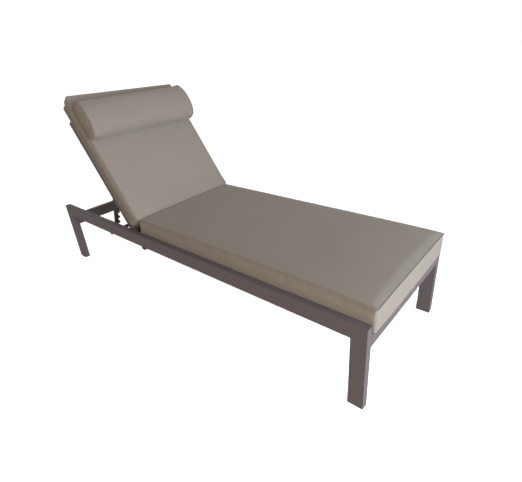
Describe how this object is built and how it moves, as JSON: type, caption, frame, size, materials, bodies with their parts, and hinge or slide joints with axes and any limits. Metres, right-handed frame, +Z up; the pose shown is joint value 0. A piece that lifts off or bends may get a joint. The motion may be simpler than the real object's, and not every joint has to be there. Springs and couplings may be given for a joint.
{
  "type": "spa relaxation lounger",
  "caption": "Reclining lounger with a low metal frame, a thick seat cushion, a raised padded backrest on notched props and a head pillow on a flap.",
  "frame": {"origin": "middle of the lounger's outline on the floor", "axes": "+Y towards the head end, -Y towards the foot end, +Z up, X across; left is -X as seen from the foot end"},
  "size_m": [0.68, 2.01, 0.9954],
  "materials": {
    "frame_coat": "satin taupe powder coat on aluminium tube",
    "deck_coat": "satin taupe powder coat on aluminium slats",
    "back_coat": "satin taupe powder coat on aluminium tube",
    "prop_coat": "satin dark coat on steel",
    "black_plastic": "matte moulded plastic",
    "bright_steel": "satin zinc plated steel",
    "cushion_cloth": "matte taupe woven cloth over foam"
  },
  "bodies": {
    "frame": {"left_rail": "frame_coat", "right_rail": "frame_coat", "left_foot_leg": "frame_coat", "right_foot_leg": "frame_coat", "left_head_leg": "frame_coat", "right_head_leg": "frame_coat", "foot_crossbar": "frame_coat", "seat_crossbar": "frame_coat", "head_crossbar": "frame_coat", "seat_slat_1": "deck_coat", "seat_slat_2": "deck_coat", "seat_slat_3": "deck_coat", "seat_slat_4": "deck_coat", "seat_slat_5": "deck_coat", "seat_slat_6": "deck_coat", "seat_slat_7": "deck_coat", "seat_slat_8": "deck_coat", "seat_slat_9": "deck_coat", "seat_slat_10": "deck_coat", "left_seat_ledge": "deck_coat", "right_seat_ledge": "deck_coat", "catch_rod": "prop_coat", "left_rod_hanger": "prop_coat", "right_rod_hanger": "prop_coat", "left_foot_glide": "black_plastic", "right_foot_glide": "black_plastic", "left_head_glide": "black_plastic", "right_head_glide": "black_plastic", "vent_plugs": "black_plastic", "pivot_spacers": "black_plastic", "left_slat_screws": "bright_steel", "right_slat_screws": "bright_steel", "left_pivot_bolt": "bright_steel", "right_pivot_bolt": "bright_steel", "pivot_nuts": "bright_steel", "rod_clips": "bright_steel", "seat_cushion": "cushion_cloth"},
    "backrest": {"left_back_tube": "back_coat", "right_back_tube": "back_coat", "back_low_bar": "back_coat", "back_top_bar": "back_coat", "back_slat_1": "back_coat", "back_slat_2": "back_coat", "back_slat_3": "back_coat", "back_slat_4": "back_coat", "back_slat_5": "back_coat", "left_back_caps": "black_plastic", "right_back_caps": "black_plastic", "arm_pins": "bright_steel", "arm_pin_nuts": "bright_steel"},
    "prop": {"left_prop_arm": "prop_coat", "right_prop_arm": "prop_coat", "arm_tie_rod": "prop_coat"},
    "back_cushion": {"back_cushion": "cushion_cloth"},
    "headrest": {"head_pillow": "cushion_cloth", "pillow_flap": "cushion_cloth"}
  },
  "joints": [
    {"name": "backrest_recline", "type": "hinge", "parent": "frame", "child": "backrest", "pos_m": [0, 0.308, 0.305], "axis": [-1, 0, 0], "range_deg": [0, 55]},
    {"name": "prop_swing", "type": "hinge", "parent": "backrest", "child": "prop", "pos_m": [0, 0.4795, 0.53772], "axis": [1, 0, 0], "range_deg": [0, 127.6]},
    {"name": "back_cushion_creep", "type": "slide", "parent": "backrest", "child": "back_cushion", "axis": [0, -0.5736, -0.8192], "range_m": [0, 0.1201]},
    {"name": "headrest_lift", "type": "slide", "parent": "back_cushion", "child": "headrest", "axis": [0, 0.5736, 0.8192], "range_m": [0, 0.12]}
  ],
  "couplings": [
    {"joint": "prop_swing", "follows": "backrest_recline", "ratio": 2.3186},
    {"joint": "back_cushion_creep", "follows": "backrest_recline", "m_per_rad": 0.12501}
  ]
}
